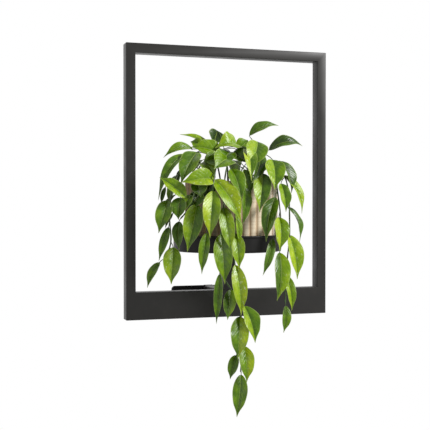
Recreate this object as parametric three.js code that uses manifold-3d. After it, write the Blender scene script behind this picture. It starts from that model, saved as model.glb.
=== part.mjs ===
// Wall planter. A steel bracket on the wall carries an upright rectangular frame; a post on the
// frame's bottom rail carries a round tray, and a ribbed pot with a trailing plant stands in it.
// Millimetres, +Z up, +Y into the wall. The origin is on the wall, at the centre of the wall plate.

import * as THREE from 'three';
import { mergeVertices } from 'three/addons/utils/BufferGeometryUtils.js';
import Module from 'manifold-3d';

const wasm = await Module();
wasm.setup();

// ---------------------------------------------------------------- driving dimensions

// Wall bracket
const PLATE_WIDTH = 180;
const PLATE_HEIGHT = 60;
const PLATE_THICKNESS = 4;
const PLATE_CORNER = 8;
const WALL_HOLE_RADIUS = 3.2;
const WALL_HOLE_HEAD_RADIUS = 6;
const WALL_HOLE_INSET = 15;
const ARM_WIDTH = 20;
const ARM_HEIGHT = 50;
const ARM_WALL = 2;
const WALL_TO_FRAME = 140;
const ARM_BELOW_RAIL_TOP = 3.5;

// Frame
const FRAME_WIDTH = 468;
const FRAME_HEIGHT = 600;
const FRAME_DEPTH = 30;
const BAR_FACE = 21;
const RAIL_HEIGHT = 60;
const TUBE_WALL = 1.5;
const TUBE_CORNER = 1.5;
const CAP_THICKNESS = 2;

// Post and its head
const POST_WIDTH = 26;
const POST_DEPTH = 35;
const POST_HEIGHT = 83;
const HEAD_SIZE = 60;
const HEAD_THICKNESS = 4;
const HEAD_CORNER = 4;

// Tray
const POT_TO_TRAY_RIM = 14;              // clear round the ribbed pot, were it in the tray's middle
const TRAY_HEIGHT = 37;
const TRAY_SHEET = 1.5;
const TRAY_CORNER = 5;
const TRAY_BEAD_RADIUS = 2.5;
const TRAY_SCREW_SPACING = 40;

// Screws that hold the tray, and their sealing washers
const SCREW_RADIUS = 2.3;
const SCREW_HEAD_RADIUS = 4.4;
const SCREW_HEAD_HEIGHT = 2.6;
const SCREW_SOCKET_RADIUS = 1.6;
const SCREW_SOCKET_DEPTH = 1.5;
const SCREW_CLEARANCE = 0.35;
const WASHER_RADIUS = 6;
const WASHER_THICKNESS = 1.2;

// Ribbed pot
const POT_RADIUS = 104.5;
const POT_HEIGHT = 153;
const POT_ASIDE = 9.5;                   // how far right of the tray's middle it has been set down
const POT_WALL = 8;
const POT_FLOOR = 10;
const POT_FOOT_WIDTH = 13;
const POT_FOOT_RECESS = 6;
const POT_DRAIN_RADIUS = 7;
const RIB_COUNT = 38;
const RIB_DEPTH = 2.6;

// Nursery pot and soil
const GROW_POT_BELOW_RIM = 10;           // its rim sits this far below the ribbed pot's
const GROW_POT_WALL = 1.2;
const GROW_POT_FLOOR = 1.5;
const GROW_POT_RIM_GAP = 3;
const GROW_POT_FLANGE_WIDTH = 5;
const GROW_POT_TAPER = 18;
const DRAIN_HOLE_RADIUS = 4;
const DRAIN_HOLE_COUNT = 5;
const DRAIN_CIRCLE_RADIUS = 45;
const SOIL_BELOW_RIM = 12;

// Plant
const STEM_RADIUS = 1.7;
const PETIOLE_RADIUS = 0.9;
const LEAF_THICKNESS = 1.2;
const LEAF_FOLD = 0.38;                 // radians that each half of a leaf is folded up
const PLANT_ROUND = 123.5;              // radius of the rim that the vines below hang round

// Running gap where two faceted or slanted pieces meet
const GAP = 0.3;

// ---------------------------------------------------------------- places worked out from them

const railTop = PLATE_HEIGHT / 2 + ARM_BELOW_RAIL_TOP;
const frameBottom = railTop - RAIL_HEIGHT;
const frameMiddleY = -(WALL_TO_FRAME + FRAME_DEPTH / 2);
const frameFrontY = -(WALL_TO_FRAME + FRAME_DEPTH);
const trayBottom = railTop + POST_HEIGHT + HEAD_THICKNESS;
const potBottom = trayBottom + TRAY_SHEET;
const potInnerRadius = POT_RADIUS - RIB_DEPTH - POT_WALL;
const trayRadius = POT_RADIUS + POT_TO_TRAY_RIM + TRAY_BEAD_RADIUS;
const trayRimRadius = trayRadius + TRAY_BEAD_RADIUS;
const growPotBottom = potBottom + POT_FLOOR;
const growPotHeight = POT_HEIGHT - POT_FLOOR - GROW_POT_BELOW_RIM;
const growPotFlangeRadius = potInnerRadius - GROW_POT_RIM_GAP;
const growPotTopRadius = growPotFlangeRadius - GROW_POT_FLANGE_WIDTH;
const growPotBottomRadius = growPotTopRadius - GROW_POT_TAPER;
const soilTop = growPotHeight - SOIL_BELOW_RIM;
const screwGrip = WASHER_THICKNESS + TRAY_SHEET + HEAD_THICKNESS;

// ---------------------------------------------------------------- finishes

const finish = (color, roughness, metalness) => ({ color, roughness, metalness });
const BLACK_COAT = finish('#2f2e2d', 0.45, 0.1);
const ZINC = finish('#b4b4b0', 0.35, 0.9);
const BLACK_RUBBER = finish('#1c1c1c', 0.85, 0);
const CREAM_CERAMIC = finish('#e2d4bd', 0.6, 0);
const BLACK_PLASTIC = finish('#26241f', 0.7, 0);
const DARK_SOIL = finish('#3a2a1e', 0.95, 0);
const LEAF_GREEN = finish('#7aa52b', 0.4, 0);

// ---------------------------------------------------------------- solids

// A geometry's points and triangles, with points closer than the weld distance made one
const WELD = 0.001;

function welded(geometry) {
  const bare = geometry.clone();
  for (const name of Object.keys(bare.attributes)) {
    if (name !== 'position') bare.deleteAttribute(name);
  }
  const merged = mergeVertices(bare, WELD);
  const triangles = [];
  for (let i = 0; i < merged.index.count; i += 3) {
    const triangle = [0, 1, 2].map((k) => merged.index.getX(i + k));
    if (new Set(triangle).size === 3) triangles.push(triangle);
  }
  return { place: merged.attributes.position, triangles };
}

// A closed geometry as a solid, with its faces pointing out
function solidOf(geometry) {
  const { place, triangles } = welded(geometry);
  const [a, b, c] = [new THREE.Vector3(), new THREE.Vector3(), new THREE.Vector3()];
  let sixVolumes = 0;
  for (const triangle of triangles) {
    a.fromBufferAttribute(place, triangle[0]);
    b.fromBufferAttribute(place, triangle[1]);
    c.fromBufferAttribute(place, triangle[2]);
    sixVolumes += a.dot(b.cross(c));
  }
  if (sixVolumes < 0) triangles.forEach((triangle) => triangle.reverse());
  return new wasm.Manifold(new wasm.Mesh({
    numProp: 3,
    vertProperties: new Float32Array(place.array),
    triVerts: new Uint32Array(triangles.flat()),
  }));
}

function geometryOf(solid) {
  const mesh = solid.getMesh();
  const loose = new THREE.BufferGeometry();
  loose.setAttribute('position', new THREE.BufferAttribute(mesh.vertProperties, 3));
  loose.setIndex(new THREE.BufferAttribute(mesh.triVerts, 1));
  const { place, triangles } = welded(loose);
  const geometry = new THREE.BufferGeometry();
  geometry.setAttribute('position', place);
  geometry.setIndex(triangles.flat());
  geometry.computeVertexNormals();
  return geometry;
}

function joined(solids) {
  return solids.reduce((whole, next) => whole.add(next));
}

function cut(solid, cutters) {
  return cutters.reduce((rest, next) => rest.subtract(next), solid);
}

function piece(name, solid, look) {
  const mesh = new THREE.Mesh(geometryOf(solid), new THREE.MeshStandardMaterial(look));
  mesh.name = name;
  return mesh;
}

// A rectangle with rounded corners, centred on the origin
function roundedRectangle(width, height, radius, PathClass = THREE.Shape) {
  const [x, y] = [width / 2 - radius, height / 2 - radius];
  const path = new PathClass();
  path.absarc(x, y, radius, 0, Math.PI / 2);
  path.absarc(-x, y, radius, Math.PI / 2, Math.PI);
  path.absarc(-x, -y, radius, Math.PI, 1.5 * Math.PI);
  path.absarc(x, -y, radius, 1.5 * Math.PI, 2 * Math.PI);
  path.closePath();
  return path;
}

function extruded(shape, depth, curveSegments = 3) {
  return new THREE.ExtrudeGeometry(shape, { depth, bevelEnabled: false, curveSegments });
}

// A rectangular tube along Z, from z = 0, open at both ends
function tube(width, depth, length, wall = TUBE_WALL) {
  const section = roundedRectangle(width, depth, TUBE_CORNER);
  section.holes.push(roundedRectangle(width - 2 * wall, depth - 2 * wall, TUBE_CORNER / 2, THREE.Path));
  return solidOf(extruded(section, length, 2));
}

// A profile of [radius, height] points turned about Z
function turned(profile, segments) {
  const points = profile.map(([radius, height]) => new THREE.Vector2(radius, height));
  return solidOf(new THREE.LatheGeometry(points, segments).rotateX(Math.PI / 2));
}

// A round cutter or pin about Z, from low to high
function round(radius, low, high, segments = 12, x = 0, y = 0) {
  const geometry = new THREE.CylinderGeometry(radius, radius, high - low, segments);
  return solidOf(geometry.rotateX(Math.PI / 2).translate(x, y, (low + high) / 2));
}

function arcPoints(centreR, centreZ, radius, fromDegrees, toDegrees, steps) {
  return Array.from({ length: steps + 1 }, (_, i) => {
    const angle = THREE.MathUtils.degToRad(fromDegrees + (toDegrees - fromDegrees) * i / steps);
    return [centreR + radius * Math.cos(angle), centreZ + radius * Math.sin(angle)];
  });
}

// The four corners of a square or rectangle centred on the origin
function fourCorners(spacingX, spacingY) {
  return [[-1, -1], [1, -1], [1, 1], [-1, 1]].map(([x, y]) => [x * spacingX / 2, y * spacingY / 2]);
}

// ---------------------------------------------------------------- wall bracket

function wallPlate() {
  const outline = roundedRectangle(PLATE_WIDTH, PLATE_HEIGHT, PLATE_CORNER);
  const plate = solidOf(extruded(outline, PLATE_THICKNESS, 5));
  const sink = WALL_HOLE_HEAD_RADIUS - WALL_HOLE_RADIUS;
  const hole = turned([
    [0, -1],
    [WALL_HOLE_RADIUS, -1],
    [WALL_HOLE_RADIUS, PLATE_THICKNESS - sink],
    [WALL_HOLE_HEAD_RADIUS + 1, PLATE_THICKNESS + 1],
    [0, PLATE_THICKNESS + 1],
  ], 14);
  const holes = fourCorners(PLATE_WIDTH - 2 * WALL_HOLE_INSET, PLATE_HEIGHT - 2 * WALL_HOLE_INSET)
    .map(([x, y]) => hole.translate([x, y, 0]));
  const mesh = piece('wall_plate', cut(plate, holes), BLACK_COAT);
  mesh.rotation.x = Math.PI / 2;
  return mesh;
}

function bracketArm() {
  const length = WALL_TO_FRAME - PLATE_THICKNESS;
  const mesh = piece('bracket_arm', tube(ARM_WIDTH, ARM_HEIGHT, length, ARM_WALL), BLACK_COAT);
  mesh.rotation.x = Math.PI / 2;
  mesh.position.set(0, -PLATE_THICKNESS, (PLATE_HEIGHT - ARM_HEIGHT) / 2);
  return mesh;
}

// ---------------------------------------------------------------- frame, about its bottom centre

function upright(name, side) {
  const length = FRAME_HEIGHT - 2 * CAP_THICKNESS;
  const mesh = piece(name, tube(BAR_FACE, FRAME_DEPTH, length), BLACK_COAT);
  mesh.position.set(side * (FRAME_WIDTH - BAR_FACE) / 2, 0, CAP_THICKNESS);
  return mesh;
}

function endCap(name, side, low) {
  const outline = roundedRectangle(BAR_FACE, FRAME_DEPTH, TUBE_CORNER);
  const mesh = piece(name, solidOf(extruded(outline, CAP_THICKNESS, 2)), BLACK_COAT);
  mesh.position.set(side * (FRAME_WIDTH - BAR_FACE) / 2, 0, low);
  return mesh;
}

function rail(name, height, low) {
  const length = FRAME_WIDTH - 2 * BAR_FACE;
  const mesh = piece(name, tube(height, FRAME_DEPTH, length), BLACK_COAT);
  mesh.rotation.y = Math.PI / 2;
  mesh.position.set(-length / 2, 0, low + height / 2);
  return mesh;
}

function frame() {
  const group = new THREE.Group();
  group.add(
    upright('frame_left_upright', -1),
    upright('frame_right_upright', 1),
    rail('frame_top_rail', BAR_FACE, FRAME_HEIGHT - BAR_FACE),
    rail('frame_bottom_rail', RAIL_HEIGHT, 0),
    endCap('left_bottom_cap', -1, 0),
    endCap('right_bottom_cap', 1, 0),
    endCap('left_top_cap', -1, FRAME_HEIGHT - CAP_THICKNESS),
    endCap('right_top_cap', 1, FRAME_HEIGHT - CAP_THICKNESS),
  );
  group.position.set(0, frameMiddleY, frameBottom);
  return group;
}

// ---------------------------------------------------------------- post and head

function post() {
  const mesh = piece('post', tube(POST_WIDTH, POST_DEPTH, POST_HEIGHT), BLACK_COAT);
  mesh.position.set(0, frameFrontY + POST_DEPTH / 2, railTop);
  return mesh;
}

function postHead() {
  const plate = solidOf(extruded(roundedRectangle(HEAD_SIZE, HEAD_SIZE, HEAD_CORNER), HEAD_THICKNESS));
  const holes = fourCorners(TRAY_SCREW_SPACING, TRAY_SCREW_SPACING)
    .map(([x, y]) => round(SCREW_RADIUS + SCREW_CLEARANCE, -1, HEAD_THICKNESS + 1, 12, x, y));
  const mesh = piece('post_head', cut(plate, holes), BLACK_COAT);
  mesh.position.set(0, frameMiddleY, trayBottom - HEAD_THICKNESS);
  return mesh;
}

// ---------------------------------------------------------------- tray and its screws

function tray() {
  const beadHeight = TRAY_HEIGHT - TRAY_BEAD_RADIUS;
  const cornerR = trayRadius - TRAY_CORNER;
  const innerCorner = TRAY_CORNER - TRAY_SHEET;
  const meetAngle = 180 + THREE.MathUtils.radToDeg(Math.acos(TRAY_SHEET / TRAY_BEAD_RADIUS));
  const shell = turned([
    [0, 0],
    ...arcPoints(cornerR, TRAY_CORNER, TRAY_CORNER, -90, 0, 3),
    ...arcPoints(trayRadius, beadHeight, TRAY_BEAD_RADIUS, -90, meetAngle, 7),
    ...arcPoints(cornerR, TRAY_CORNER, innerCorner, 0, -90, 2),
    [0, TRAY_SHEET],
  ], 56);
  const holes = fourCorners(TRAY_SCREW_SPACING, TRAY_SCREW_SPACING)
    .map(([x, y]) => round(SCREW_RADIUS + SCREW_CLEARANCE, -1, TRAY_SHEET + 1, 12, x, y));
  const mesh = piece('tray', cut(shell, holes), BLACK_COAT);
  mesh.position.set(0, frameMiddleY, trayBottom);
  return mesh;
}

function trayScrews() {
  const group = new THREE.Group();
  const screw = cut(turned([
    [0, -screwGrip],
    [SCREW_RADIUS, -screwGrip],
    [SCREW_RADIUS, 0],
    [SCREW_HEAD_RADIUS, 0],
    [SCREW_HEAD_RADIUS, 0.5 * SCREW_HEAD_HEIGHT],
    [0.6 * SCREW_HEAD_RADIUS, SCREW_HEAD_HEIGHT],
    [0, SCREW_HEAD_HEIGHT],
  ], 12), [round(SCREW_SOCKET_RADIUS, SCREW_HEAD_HEIGHT - SCREW_SOCKET_DEPTH, SCREW_HEAD_HEIGHT + 1, 6)]);
  const washer = cut(round(WASHER_RADIUS, 0, WASHER_THICKNESS, 16),
    [round(SCREW_RADIUS + SCREW_CLEARANCE, -1, WASHER_THICKNESS + 1)]);
  fourCorners(TRAY_SCREW_SPACING, TRAY_SCREW_SPACING).forEach(([x, y], i) => {
    const washerMesh = piece(`tray_washer_${i + 1}`, washer, BLACK_RUBBER);
    const screwMesh = piece(`tray_screw_${i + 1}`, screw, ZINC);
    washerMesh.position.set(x, y, 0);
    screwMesh.position.set(x, y, WASHER_THICKNESS);
    group.add(washerMesh, screwMesh);
  });
  group.position.set(0, frameMiddleY, potBottom);
  return group;
}

// ---------------------------------------------------------------- ribbed pot

// One convex rib is four points of the outline: a sharp valley and three points of its back
const RIB_BACK = [[0, 0], [0.22, 0.75], [0.5, 1], [0.78, 0.75]];

function ribbedPot() {
  const outline = new THREE.Shape();
  for (let rib = 0; rib < RIB_COUNT; rib += 1) {
    for (const [along, share] of RIB_BACK) {
      const angle = 2 * Math.PI * (rib + along) / RIB_COUNT;
      const radius = POT_RADIUS - RIB_DEPTH * (1 - share);
      const [x, y] = [radius * Math.cos(angle), radius * Math.sin(angle)];
      if (rib === 0 && along === 0) outline.moveTo(x, y);
      else outline.lineTo(x, y);
    }
  }
  outline.closePath();
  const footRadius = POT_RADIUS - RIB_DEPTH - POT_FOOT_WIDTH;
  const pot = cut(solidOf(extruded(outline, POT_HEIGHT)), [
    round(potInnerRadius, POT_FLOOR, POT_HEIGHT + 1, 64),
    round(footRadius, -1, POT_FOOT_RECESS, 48),
    round(POT_DRAIN_RADIUS, -1, POT_FLOOR + 1, 16),
  ]);
  const mesh = piece('ribbed_pot', pot, CREAM_CERAMIC);
  mesh.position.set(POT_ASIDE, frameMiddleY, potBottom);
  return mesh;
}

// ---------------------------------------------------------------- nursery pot and soil

function growPot() {
  const shell = turned([
    [0, 0],
    [growPotBottomRadius, 0],
    [growPotTopRadius, growPotHeight - GROW_POT_WALL],
    [growPotFlangeRadius, growPotHeight - GROW_POT_WALL],
    [growPotFlangeRadius, growPotHeight],
    [growPotTopRadius - GROW_POT_WALL, growPotHeight],
    [growPotBottomRadius - GROW_POT_WALL, GROW_POT_FLOOR],
    [0, GROW_POT_FLOOR],
  ], 48);
  const drains = Array.from({ length: DRAIN_HOLE_COUNT }, (_, i) => {
    const angle = 2 * Math.PI * i / DRAIN_HOLE_COUNT;
    const [x, y] = [DRAIN_CIRCLE_RADIUS * Math.cos(angle), DRAIN_CIRCLE_RADIUS * Math.sin(angle)];
    return round(DRAIN_HOLE_RADIUS, -1, GROW_POT_FLOOR + 1, 10, x, y);
  });
  const mesh = piece('grow_pot', cut(shell, drains), BLACK_PLASTIC);
  mesh.position.set(POT_ASIDE, frameMiddleY, growPotBottom);
  return mesh;
}

function soil() {
  const outPerHeight = GROW_POT_TAPER / (growPotHeight - GROW_POT_FLOOR);
  const lowRadius = growPotBottomRadius - GROW_POT_WALL - GAP;
  const topRadius = lowRadius + outPerHeight * (soilTop - GROW_POT_FLOOR);
  const fill = turned([
    [0, GROW_POT_FLOOR],
    [lowRadius, GROW_POT_FLOOR],
    [topRadius, soilTop],
    [0, soilTop],
  ], 48);
  const mesh = piece('soil', fill, DARK_SOIL);
  mesh.position.set(POT_ASIDE, frameMiddleY, growPotBottom);
  return mesh;
}

// ---------------------------------------------------------------- the plant

// Each vine has a root on the soil [x, y], the points that its stem passes, and its leaves. Places are
// from the tray's axis, x to the right and y towards the wall, with z above the ribbed pot's rim.
// A leaf is its base, its tip, its width, the heading that it faces (0 is the room, 90 the right), how
// far it looks up, in degrees, and how high it arches, in hundredths of its length.
const VINES = {
  crown_left: {
    root: [-35, -20],
    stem: [[-44, -24, 29], [-52, -32, 51], [-62, -40, 61]],
    leaves: [
      [-90, -35, 70, -159, -45, 50, 28, -10, 45, 20],
      [-42, 5, 86, -105, 20, 106, 23, 0, 60, 4],
      [-59, -5, 78, -85, 5, 89, 22, -20, 20, 10],
      [-42, -55, 57, -100, -50, 73, 42, -10, 45, 12],
      [-100, -45, 57, -178, -77, -42, 24, -30, 35, 20],
      [-88, -60, 62, -136, -103, -8, 46, -25, 30, 12],
      [-76, -75, 41, -62, -101, 11, 34, -10, 40, 8],
    ],
  },
  crown_centre: {
    root: [0, -5],
    stem: [[-4, -10, 29], [-10, -18, 51], [-12, -12, 75]],
    leaves: [
      [-22, 15, 115, -36, -3, 83, 42, -10, -20, 0],
      [13, -35, 74, -49, -63, 71, 50, -10, 50, 26],
      [17, -25, 71, 44, -15, 94, 34, 0, 30, 3],
      [-44, -82, 46, -83, -89, 40, 36, -10, 55, 5],
      [-24, -82, 47, -69, -123, 23, 38, -5, 50, 12],
      [-16, -65, 64, -45, -95, 32, 32, -15, 50, 8],
      [-11, -65, 61, 16, -92, 39, 46, 10, 45, 8],
      [-26, -106, 25, -14, -139, -40, 40, 5, 30, 10],
    ],
  },
  crown_right: {
    root: [40, -15],
    stem: [[42, -18, 29], [48, -30, 51], [56, -40, 63]],
    leaves: [
      [47, -15, 104, 117, -15, 128, 30, 0, 50, 16],
      [86, -35, 71, 165, -40, 81, 36, 0, 45, 24],
      [46, -74, 86, 15, -112, 31, 52, 5, 45, 10],
      [24, -63, 71, 12, -128, -2, 27, 0, 35, 18],
      [52, -75, 68, 11, -132, -6, 28, 25, 15, 6],
      [70, -100, 46, 59, -142, -20, 48, -2, 35, 10],
    ],
  },
  vine_left: {
    root: [-50, -30],
    stem: [[-85, -60, 42], [-125, -85, 29], [-152, -97, -17], [-158, -95, -73], [-156, -95, -133],
      [-168, -90, -165]],
    leaves: [
      [-131, -65, 11, -156, -73, -4, 8, -20, 20, 5],
      [-131, -125, -36, -182, -103, 6, 35, -15, 40, 4],
      [-162, -100, -42, -188, -120, -110, 37, -25, 20, 10],
      [-161, -70, -14, -172, -77, -50, 11, -30, 0, 3],
      [-148, -85, -69, -167, -90, -101, 10, -50, 0, 4],
      [-160, -95, -98, -186, -113, -168, 20, -30, 10, 6],
      [-152, -100, -140, -162, -123, -216, 38, -20, 15, 8],
      [-177, -85, -172, -206, -95, -224, 22, -45, 15, 10],
      [-135, -86, 21, -143, -92, -14, 10, -40, 10, 4],
    ],
  },
  vine_left_front: {
    root: [-45, -40],
    stem: [[-86, -84, 32], [-100, -106, 15], [-112, -121, -28], [-128, -119, -65], [-138, -109, -80]],
    leaves: [
      [-140, -113, -36, -146, -121, -82, 28, -25, 20, 6],
      [-116, -114, -31, -140, -124, -72, 20, -40, 30, 8],
      [-102, -112, -2, -98, -122, -35, 36, -10, 20, 6],
      [-106, -121, -50, -134, -146, -148, 44, -20, 20, 8],
      [-141, -107, -86, -146, -127, -145, 26, -25, 20, 10],
      [-95, -112, -25, -120, -118, -61, 22, -15, 20, 8],
    ],
  },
  vine_front_left: {
    root: [-30, -50],
    stem: [[-55, -98, 33], [-68, -123, 9], [-78, -133, -33], [-86, -137, -83], [-91, -139, -105]],
    leaves: [
      [-64, -112, 5, -142, -129, -5, 42, -15, 35, 10],
      [-65, -113, 2, -18, -150, -88, 46, -5, 30, 14],
      [-75, -136, -22, -90, -163, -120, 40, -12, 20, 8],
      [-91, -141, -109, -105, -153, -194, 24, -20, 10, 6],
      [-66, -108, -2, -92, -119, -37, 26, -15, 25, 8],
    ],
  },
  vine_front: {
    root: [-15, -55],
    stem: [[-35, -106, 30], [-44, -118, 3], [-48, -124, -38], [-51, -134, -65], [-58, -139, -108],
      [-62, -137, -153], [-55, -137, -198], [-40, -137, -223]],
    leaves: [
      [-53, -137, -56, -46, -165, -149, 34, -8, 20, 8],
      [-61, -143, -112, -58, -163, -215, 42, -12, 15, 8],
      [-62, -139, -195, -73, -151, -298, 20, -25, 10, 5],
      [-37, -139, -228, -50, -155, -290, 29, -10, 15, 6],
    ],
  },
  vine_front_long: {
    root: [5, -57],
    stem: [[-8, -108, 30], [-12, -119, -1], [-20, -121, -43], [-27, -135, -81], [-30, -143, -173],
      [-14, -137, -243], [-14, -137, -288], [-10, -135, -343], [-14, -134, -403]],
    leaves: [
      [0, -115, 24, 14, -120, -32, 29, 15, 10, 0],
      [0, -122, -12, -10, -134, -94, 27, 20, 5, 5],
      [-26, -139, -71, -24, -151, -135, 18, 20, 10, 5],
      [-29, -143, -111, -26, -161, -185, 33, -5, 20, 10],
      [-30, -145, -176, -22, -161, -281, 34, -8, 12, 7],
      [-18, -141, -285, -30, -163, -372, 38, -10, 15, 8],
      [-7, -137, -264, 11, -155, -340, 38, 15, 15, 10],
      [-8, -139, -348, -9, -159, -421, 31, -5, 15, 8],
      [-24, -135, -367, -42, -147, -415, 22, -35, 10, 7],
      [-14, -137, -408, -29, -153, -494, 30, -15, 10, 6],
    ],
  },
  vine_right: {
    root: [25, -45],
    stem: [[60, -90, 35], [76, -104, 11], [78, -108, -18], [84, -112, -75], [83, -113, -151]],
    leaves: [
      [65, -65, 44, 32, -90, 15, 28, -10, 10, 3],
      [46, -107, 16, 25, -143, -67, 42, -5, 30, 10],
      [69, -119, -35, 38, -147, -130, 36, -30, 15, 14],
      [81, -111, -78, 73, -135, -150, 38, 5, 25, 12],
      [64, -119, -124, 33, -141, -201, 21, 0, 15, 6],
      [82, -113, -154, 67, -135, -256, 41, 5, 15, 10],
    ],
  },
  vine_right_outer: {
    root: [40, -35],
    stem: [[85, -70, 37], [105, -80, 13], [112, -88, -23], [113, -92, -73], [110, -99, -123],
      [100, -104, -198], [99, -103, -263]],
    leaves: [
      [97, -75, 45, 117, -93, -26, 42, 35, 25, 12],
      [106, -73, 14, 145, -85, -71, 28, 25, 30, 16],
      [91, -97, -5, 94, -119, -67, 31, 10, 20, 10],
      [114, -81, -56, 138, -89, -133, 30, 45, 20, 14],
      [111, -95, -117, 122, -115, -213, 41, 12, 25, 10],
      [99, -107, -204, 107, -121, -280, 25, 5, 15, 8],
      [100, -103, -271, 91, -113, -328, 24, 10, 10, 8],
    ],
  },
  vine_back_left: {
    root: [-30, 25],
    stem: [[-60, 60, 37], [-84, 86, 21], [-96, 96, -23]],
    leaves: [
      [-62, 40, 49, -92, 78, 39, 36, -140, 45, 10],
      [-85, 88, 17, -106, 112, -53, 36, -145, 20, 8],
      [-40, 66, 51, -48, 120, 21, 34, -165, 45, 12],
      [-96, 94, -28, -124, 104, -95, 32, -125, 15, 8],
    ],
  },
  vine_back_right: {
    root: [30, 25],
    stem: [[60, 60, 37], [84, 86, 21], [98, 94, -33]],
    leaves: [
      [68, 45, 49, 116, 76, 25, 36, 120, 45, 12],
      [86, 86, 15, 106, 112, -55, 36, 145, 20, 8],
      [44, 66, 51, 56, 120, 15, 34, 165, 45, 12],
      [98, 92, -38, 128, 100, -105, 32, 130, 15, 8],
      [10, 56, 55, 12, 116, 37, 34, 180, 50, 12],
    ],
  },
};

// A place in the plant, moved out or in with the tray's rim
function grown(x, y, z) {
  const out = Math.hypot(x, y);
  const stretch = 1 + (trayRimRadius - PLANT_ROUND) / Math.max(out, PLANT_ROUND);
  return new THREE.Vector3(x * stretch, y * stretch, z);
}

function heading(face, lift) {
  const [turn, tilt] = [face, lift].map(THREE.MathUtils.degToRad);
  return new THREE.Vector3(Math.sin(turn) * Math.cos(tilt), -Math.cos(turn) * Math.cos(tilt), Math.sin(tilt));
}

const LEAF_STATIONS = [0.12, 0.36, 0.62, 0.84];
const LEAF_SWELL = 0.72;                 // below 1, the widest place moves towards the base

// A leaf is a thin solid, pointed at both ends, folded along its midrib and arched along it
function leafBlade([bx, by, bz, tx, ty, tz, width, face, lift, archShare]) {
  const base = grown(bx, by, bz);
  const tip = grown(tx, ty, tz);
  const length = base.distanceTo(tip);
  const along = tip.clone().sub(base).normalize();
  const up = heading(face, lift);
  up.addScaledVector(along, -up.dot(along)).normalize();
  const side = new THREE.Vector3().crossVectors(along, up);
  const midrib = (t) => base.clone().lerp(tip, t)
    .addScaledVector(up, 4 * t * (1 - t) * length * archShare / 100);
  const corners = [base, tip];
  for (const t of LEAF_STATIONS) {
    const half = width / 2 * Math.sin(Math.PI * t ** LEAF_SWELL);
    for (const thick of [LEAF_THICKNESS / 2, -LEAF_THICKNESS / 2]) {
      for (const across of [-1, 0, 1]) {
        corners.push(midrib(t)
          .addScaledVector(side, across * half * Math.cos(LEAF_FOLD))
          .addScaledVector(up, Math.abs(across) * half * Math.sin(LEAF_FOLD) + thick));
      }
    }
  }
  const at = (station, under, across) => 2 + station * 6 + under * 3 + across;
  const last = LEAF_STATIONS.length - 1;
  const faces = [];
  const quad = (a, b, c, d) => faces.push(a, b, c, a, c, d);
  for (let station = 0; station < last; station += 1) {
    for (const across of [0, 1]) {
      quad(at(station, 0, across), at(station, 0, across + 1),
        at(station + 1, 0, across + 1), at(station + 1, 0, across));
      quad(at(station, 1, across + 1), at(station, 1, across),
        at(station + 1, 1, across), at(station + 1, 1, across + 1));
    }
    quad(at(station, 1, 0), at(station, 0, 0), at(station + 1, 0, 0), at(station + 1, 1, 0));
    quad(at(station, 0, 2), at(station, 1, 2), at(station + 1, 1, 2), at(station + 1, 0, 2));
  }
  for (const [point, station, flip] of [[0, 0, false], [1, last, true]]) {
    const ring = [at(station, 0, 0), at(station, 0, 1), at(station, 0, 2),
      at(station, 1, 2), at(station, 1, 1), at(station, 1, 0)];
    ring.forEach((corner, i) => {
      const next = ring[(i + 1) % ring.length];
      faces.push(...(flip ? [point, corner, next] : [point, next, corner]));
    });
  }
  const geometry = new THREE.BufferGeometry().setFromPoints(corners);
  geometry.setIndex(faces);
  return { solid: solidOf(geometry), base, into: midrib(0.06) };
}

// A round stalk of few sides along a smooth line through the points
function stalk(points, radius, sides, steps) {
  const section = new THREE.Shape();
  for (let i = 0; i < sides; i += 1) {
    const angle = 2 * Math.PI * i / sides;
    const [x, y] = [radius * Math.cos(angle), radius * Math.sin(angle)];
    if (i === 0) section.moveTo(x, y);
    else section.lineTo(x, y);
  }
  section.closePath();
  const line = new THREE.CatmullRomCurve3(points, false, 'centripetal');
  return {
    middles: line.getSpacedPoints(steps),
    solid: solidOf(new THREE.ExtrudeGeometry(section, { steps, bevelEnabled: false, extrudePath: line })),
  };
}

// A leaf's stalk leaves the stem a little above the leaf and bends out over it. Each takes its own place
// on the stem, with the two beside it.
const PETIOLE_START_ABOVE_LEAF = 12;
const PETIOLE_BEND = 0.12;               // rise of its middle, for each unit of its length

function petiole(leaf, places) {
  const wanted = leaf.base.clone().add(new THREE.Vector3(0, 0, PETIOLE_START_ABOVE_LEAF));
  const nearest = (best, place, i) => (place.distanceTo(wanted) < places[best].distanceTo(wanted) ? i : best);
  const chosen = places.reduce(nearest, 0);
  const start = places[chosen];
  places.splice(Math.max(0, chosen - 1), 3);
  const middle = start.clone().lerp(leaf.base, 0.55);
  middle.z += PETIOLE_BEND * start.distanceTo(leaf.base);
  return stalk([start, middle, leaf.base, leaf.into], PETIOLE_RADIUS, 3, 5).solid;
}

function vine(name, { root, stem, leaves }) {
  const soilLevel = POT_FLOOR + soilTop - POT_HEIGHT;
  const [x, y] = root;
  const points = [grown(x, y, soilLevel + GAP), grown(x, y, soilLevel + 4 * STEM_RADIUS),
    ...stem.map(([px, py, pz]) => grown(px, py, pz))];
  const trunk = stalk(points, STEM_RADIUS, 4, 2 * points.length);
  const places = trunk.middles.slice(1).flatMap((place, i) => (
    [0.25, 0.5, 0.75, 1].map((share) => trunk.middles[i].clone().lerp(place, share))));
  const blades = leaves.map(leafBlade);
  const solid = joined([trunk.solid, ...blades.flatMap((leaf) => [leaf.solid, petiole(leaf, places)])]);
  return piece(name, solid, LEAF_GREEN);
}

function plant() {
  const group = new THREE.Group();
  for (const [name, form] of Object.entries(VINES)) group.add(vine(name, form));
  group.position.set(0, frameMiddleY, potBottom + POT_HEIGHT);
  return group;
}

// ---------------------------------------------------------------- the whole planter

const planter = new THREE.Group();
planter.add(wallPlate(), bracketArm(), frame(), post(), postHead(), tray(), trayScrews());
planter.add(ribbedPot(), growPot(), soil(), plant());

export default planter;
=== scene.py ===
import math
import random

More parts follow.
